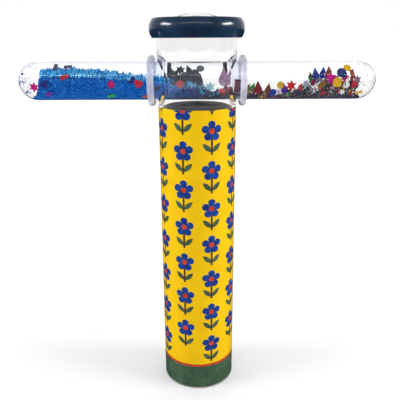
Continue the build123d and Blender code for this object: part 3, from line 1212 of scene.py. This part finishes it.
@dataclass
class Grommets:
    """The two soft rings that the wand slides in: a milky flange outside and a clear hub in the wall."""

    wand: Wand
    bore: float = 8.1
    hub_radius: float = 9.0
    flange_radius: float = 10.75
    hub_inside: float = 14.6
    flange_inside: float = 18.1
    flange_outside: float = 20.9
    soft: float = 0.9
    chamfer: float = 0.3
    rim_steps: int = 12
    segments: int = 128

    def flange(self, name: str) -> bpy.types.Object:
        """Models a flange with softly rounded rims, turned about the wand's axis."""
        low, high, soft = self.flange_inside, self.flange_outside, self.soft
        inner, chamfer = self.bore, self.chamfer
        rim = []
        for i in range(self.rim_steps + 1):
            angle = pi * i / self.rim_steps
            reach = self.flange_radius - soft + soft * sin(angle)
            rim.append((reach, (low + high) / 2 - (high - low) / 2 * cos(angle)))
        start = [(inner, low + chamfer), (inner + chamfer, low)]
        end = [(inner + chamfer, high), (inner, high - chamfer)]
        outline = start + rim + end
        return lathe(name, outline, self.segments, ring=True)

    def hub(self, name: str) -> bpy.types.Object:
        """Models the short sleeve that passes through the tube's wall."""
        low, high = self.hub_inside, self.flange_inside
        outline = [(self.bore, low), (self.hub_radius, low), (self.hub_radius, high), (self.bore, high)]
        return lathe(name, outline, self.segments, ring=True)

    def build(self) -> None:
        """Makes both rings and hands them over."""
        for side, sign in (("left", -1), ("right", 1)):
            for kind, make, finish in (("flange", self.flange, VINYL), ("hub", self.hub, HUB)):
                piece = self.wand.along_x(make(f"{kind}_{side}"))
                if sign < 0:
                    piece.data.transform(Matrix.Rotation(pi, 4, "Z"))
                settle(piece)
                dress(piece, finish)
                replaced = (f"grommet_{side}",) if kind == "flange" else ()
                hand_over(piece, "grommets", "soft_ring", *replaced)


@dataclass
class Bubbles:
    """Tiny bubbles that cling inside the wand's round ends."""

    wand: Wand
    number: int = 700
    size: Point = (0.2, 0.46)
    wall: float = 0.5
    seed: int = 5

    def build(self) -> None:
        """Scatters the bubbles and hands them over."""
        draw = random.Random(self.seed)
        bpy.ops.mesh.primitive_ico_sphere_add(subdivisions=1, radius=MM)
        base = named("bubble")
        copies = []
        for number in range(self.number):
            side = -1 if number % 2 else 1
            turn = draw.uniform(0, 2 * pi)
            rise = draw.uniform(0.05, 1.0)
            depth = self.wand.radius - self.wall - 1.2 * draw.random() ** 2
            across = depth * sqrt(1 - rise**2)
            place = Vector((
                side * (self.wand.straight + depth * rise),
                across * cos(turn),
                self.wand.height + across * sin(turn),
            ))
            mesh = base.data.copy()
            mesh.transform(Matrix.Translation(place * MM) @ Matrix.Scale(draw.uniform(*self.size) / 2, 4))
            copy = bpy.data.objects.new("bubble", mesh)
            bpy.context.scene.collection.objects.link(copy)
            copies.append(copy)
        bpy.data.objects.remove(base)
        bubbles = join("end_bubbles", copies)
        settle(bubbles, 60.0)
        dress(bubbles, BUBBLE)
        hand_over(bubbles, "wand", "wand_acrylic")


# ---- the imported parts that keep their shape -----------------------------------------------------


@dataclass
class PackedParts:
    """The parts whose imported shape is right: each gets its finish."""

    FINISHES = {
        TUBE_ACRYLIC: ("window_retainer", "object_window", "eye_lens"),
        CLEAR_DOME: ("end_window",),
        MOULDED_RING: ("end_ring",),
        MATT_BLACK: ("eyepiece", "lens_retainer"),
        MASK_BLACK: ("mirror_mask",),
        BLACK_CARD: ("inner_tube",),
        GREY_FOAM: ("foam_ring_bottom", "foam_ring_top", "mirror_padding"),
        BLACK_TAPE: ("mirror_tape",),
        MIRROR: ("mirror_1", "mirror_2", "mirror_3"),
    }

    def build(self) -> None:
        """Puts each finish in its parts' material slots."""
        for finish, nodes in self.FINISHES.items():
            for node in nodes:
                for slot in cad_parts[node].material_slots:
                    slot.material = finish.build()
                LOG.info("%s keeps its shape, in %s", node, finish.name)


# ---- the studio ---------------------------------------------------------------------------------


@dataclass
class Studio:
    """The pale floor, the soft lights and the camera."""

    camera_place: tuple[float, float, float] = (1.0, -220.0, 163.3)
    camera_pitch: float = 18.05
    camera_roll: float = -0.26
    lens: float = 44.79
    left_radiance: float = 20.0
    right_radiance: float = 24.0
    light_tones = [(0.0, "9A9496"), (0.35, "B4B0B2"), (0.6, "E6E4E4"), (1.0, "F4F4F4")]
    mirror_tones = [(0.0, "6C686A"), (0.5, "8A8788"), (0.8, "A8A6A6"), (1.0, "FFFFFF")]
    bent_tones = [(0.0, "4A4A4E"), (0.6, "5A5A5E"), (0.75, "B4B4B6"), (0.86, "FFFFFF")]

    def sky(self) -> None:
        """Surrounds the scope with white, dimmer in front, where the dark side of the room is."""
        world = bpy.data.worlds.new("white_cove")
        bpy.context.scene.world = world
        world.use_nodes = True
        tree = world.node_tree
        tree.nodes.clear()
        where = add_node(tree, "ShaderNodeTexCoord", {}, {})
        split = add_node(tree, "ShaderNodeSeparateXYZ", {}, {"Vector": where.outputs["Generated"]})
        depth = add_node(
            tree, "ShaderNodeMapRange", {}, {"Value": split.outputs["Y"], "From Min": -1.0, "From Max": 1.0}
        )
        lit = ramp(tree, depth.outputs["Result"], self.light_tones)
        mirrored = ramp(tree, depth.outputs["Result"], self.mirror_tones)
        path = add_node(tree, "ShaderNodeLightPath", {}, {})
        tone = self.choice(tree, path.outputs["Is Glossy Ray"], lit, mirrored)
        bent = ramp(tree, depth.outputs["Result"], self.bent_tones)
        tone = self.choice(tree, path.outputs["Is Transmission Ray"], tone, bent)
        seen = self.choice(tree, path.outputs["Is Camera Ray"], tone, linear("FFFFFF"))
        back = add_node(tree, "ShaderNodeBackground", {}, {"Color": seen, "Strength": 1.0})
        add_node(tree, "ShaderNodeOutputWorld", {}, {"Surface": back.outputs[0]})

    def choice(self, tree: bpy.types.NodeTree, factor: bpy.types.NodeSocket, first: object, second: object):
        """Returns the first colour where the factor is 0 and the second where it is 1."""
        mix = add_node(
            tree, "ShaderNodeMix", {"data_type": "RGBA"}, {"Factor": factor, 6: first, 7: second}
        )
        return mix.outputs[2]

    def soft_box(
        self, name: str, azimuth: float, rise: float, away: float, size: Point, radiance: float
    ) -> None:
        """Adds a lit panel that faces the scope.

        Args:
            name: the lamp's name.
            azimuth: where it stands, in degrees round from the front, positive to the right.
            rise: how far it is raised, in degrees.
            away: its distance in metres.
            size: its width and height in metres.
            radiance: how bright its face is.
        """
        light = bpy.data.lights.new(name, "AREA")
        light.shape = "RECTANGLE"
        light.size, light.size_y = size
        light.energy = radiance * pi * size[0] * size[1]
        lamp = bpy.data.objects.new(name, light)
        turn, lift = radians(azimuth), radians(rise)
        place = Vector((sin(turn) * cos(lift), -cos(turn) * cos(lift), sin(lift))) * away
        target = Vector((0, 0, 0.12))
        lamp.location = target + place
        lamp.rotation_euler = place.to_track_quat("Z", "Y").to_euler()
        bpy.context.scene.collection.objects.link(lamp)

    def floor(self) -> None:
        """Lays the pale floor."""
        bpy.ops.mesh.primitive_plane_add(size=12.0)
        floor = named("floor")
        dress(floor, PaleFloor("studio_sheet"))

    def camera(self) -> None:
        """Stands the camera in front, looking a little down."""
        data = bpy.data.cameras.new("camera")
        data.lens = self.lens
        data.sensor_width = 36.0
        data.clip_start = 0.01
        camera = bpy.data.objects.new("camera", data)
        look = Matrix.Rotation(radians(90 - self.camera_pitch), 4, "X")
        roll = Matrix.Rotation(radians(self.camera_roll), 4, "Z")
        camera.matrix_world = Matrix.Translation(Vector(self.camera_place) * MM) @ look @ roll
        bpy.context.scene.collection.objects.link(camera)
        bpy.context.scene.camera = camera

    def build(self) -> None:
        """Sets up the whole studio."""
        self.sky()
        self.floor()
        self.camera()
        self.soft_box("box_left", -80, 25, 0.8, (0.36, 0.12), self.left_radiance)
        self.soft_box("box_right", 80, 25, 0.8, (0.36, 0.12), self.right_radiance)
        self.soft_box("strip", 0, 40, 0.7, (0.9, 0.02), 11.0)
        bpy.context.scene.view_settings.view_transform = "Standard"


def blue_bed(wand: Wand) -> SettledBed:
    """Returns the blue bed, which fills the wand's left half under a fringe of loose flakes."""
    return SettledBed(
        wand,
        "blue_bed",
        "blue_glitter",
        (
            (-71.0, -6.2),
            (-68.6, -5.0),
            (-66.8, -2.4),
            (-66.2, 1.4),
            (-60, 1.6),
            (-42, 1.4),
            (-30, 0.6),
            (-22, -0.3),
            (-6, -0.9),
            (2, -2.2),
            (9, -5.0),
        ),
        BLUE_BED_FINISH,
        (
            Scatter("blue_fringe", (-65.8, -47), (1.2, 3.9), 400, (1.2, 2.4), CYANS, 7, 0.2, 0.6),
            Scatter("blue_fringe_middle", (-50, -33), (1.0, 3.6), 330, (1.2, 2.3), CYANS, 15, 0.2, 0.6),
            Scatter("blue_fringe_low", (-38, -12), (0.8, 3.2), 420, (1.1, 2.2), CYANS, 8, 0.2, 0.6),
            Scatter("blue_fringe_inner", (-14, 5), (0.2, 2.0), 170, (1.1, 2.2), CYANS, 9, 0.3, 0.7),
            Scatter("slate_flakes", (-11.5, 1.5), (0.5, 6.0), 26, (2.4, 4.4), SLATES, 12, 1.0),
            Scatter("navy_flakes", (-6, 13), (-2.2, 1.6), 150, (1.6, 3.0), NAVIES, 13, 1.2),
        ),
    )


def mixed_bed(wand: Wand) -> SettledBed:
    """Returns the bed of mixed colours in the wand's right half, with a heap towards its end."""
    return SettledBed(
        wand,
        "mixed_bed",
        "mixed_glitter",
        (
            (2, -6.0),
            (5, -3.8),
            (14, -3.6),
            (20, -5.0),
            (34, -5.0),
            (38, -4.2),
            (46, -3.4),
            (64, -3.4),
            (68, -4.8),
            (71, -6.2),
        ),
        MIXED_BED_FINISH,
        (
            Scatter("mixed_flakes", (11, 47), (-0.8, 2.6), 150, (1.6, 3.4), MIXED, 11, 0.7),
            Scatter("heaped_flakes", (47, 67), (-0.6, 6.2), 190, (2.0, 3.8), MIXED, 14, 0.9, 0.9),
        ),
    )


def main() -> None:
    """Builds every sub-assembly in order and reports each piece."""
    logging.basicConfig(level=logging.INFO, format="%(name)s: %(message)s")
    barrel = Barrel()
    barrel.build()
    Print(barrel).build()
    wand = Wand()
    wand.build()
    blue_bed(wand).build()
    mixed = mixed_bed(wand)
    mixed.build()
    Confetti(mixed).build()
    Bubbles(wand).build()
    Grommets(wand).build()
    PackedParts().build()
    Studio().build()


if __name__ == "__main__":
    main()
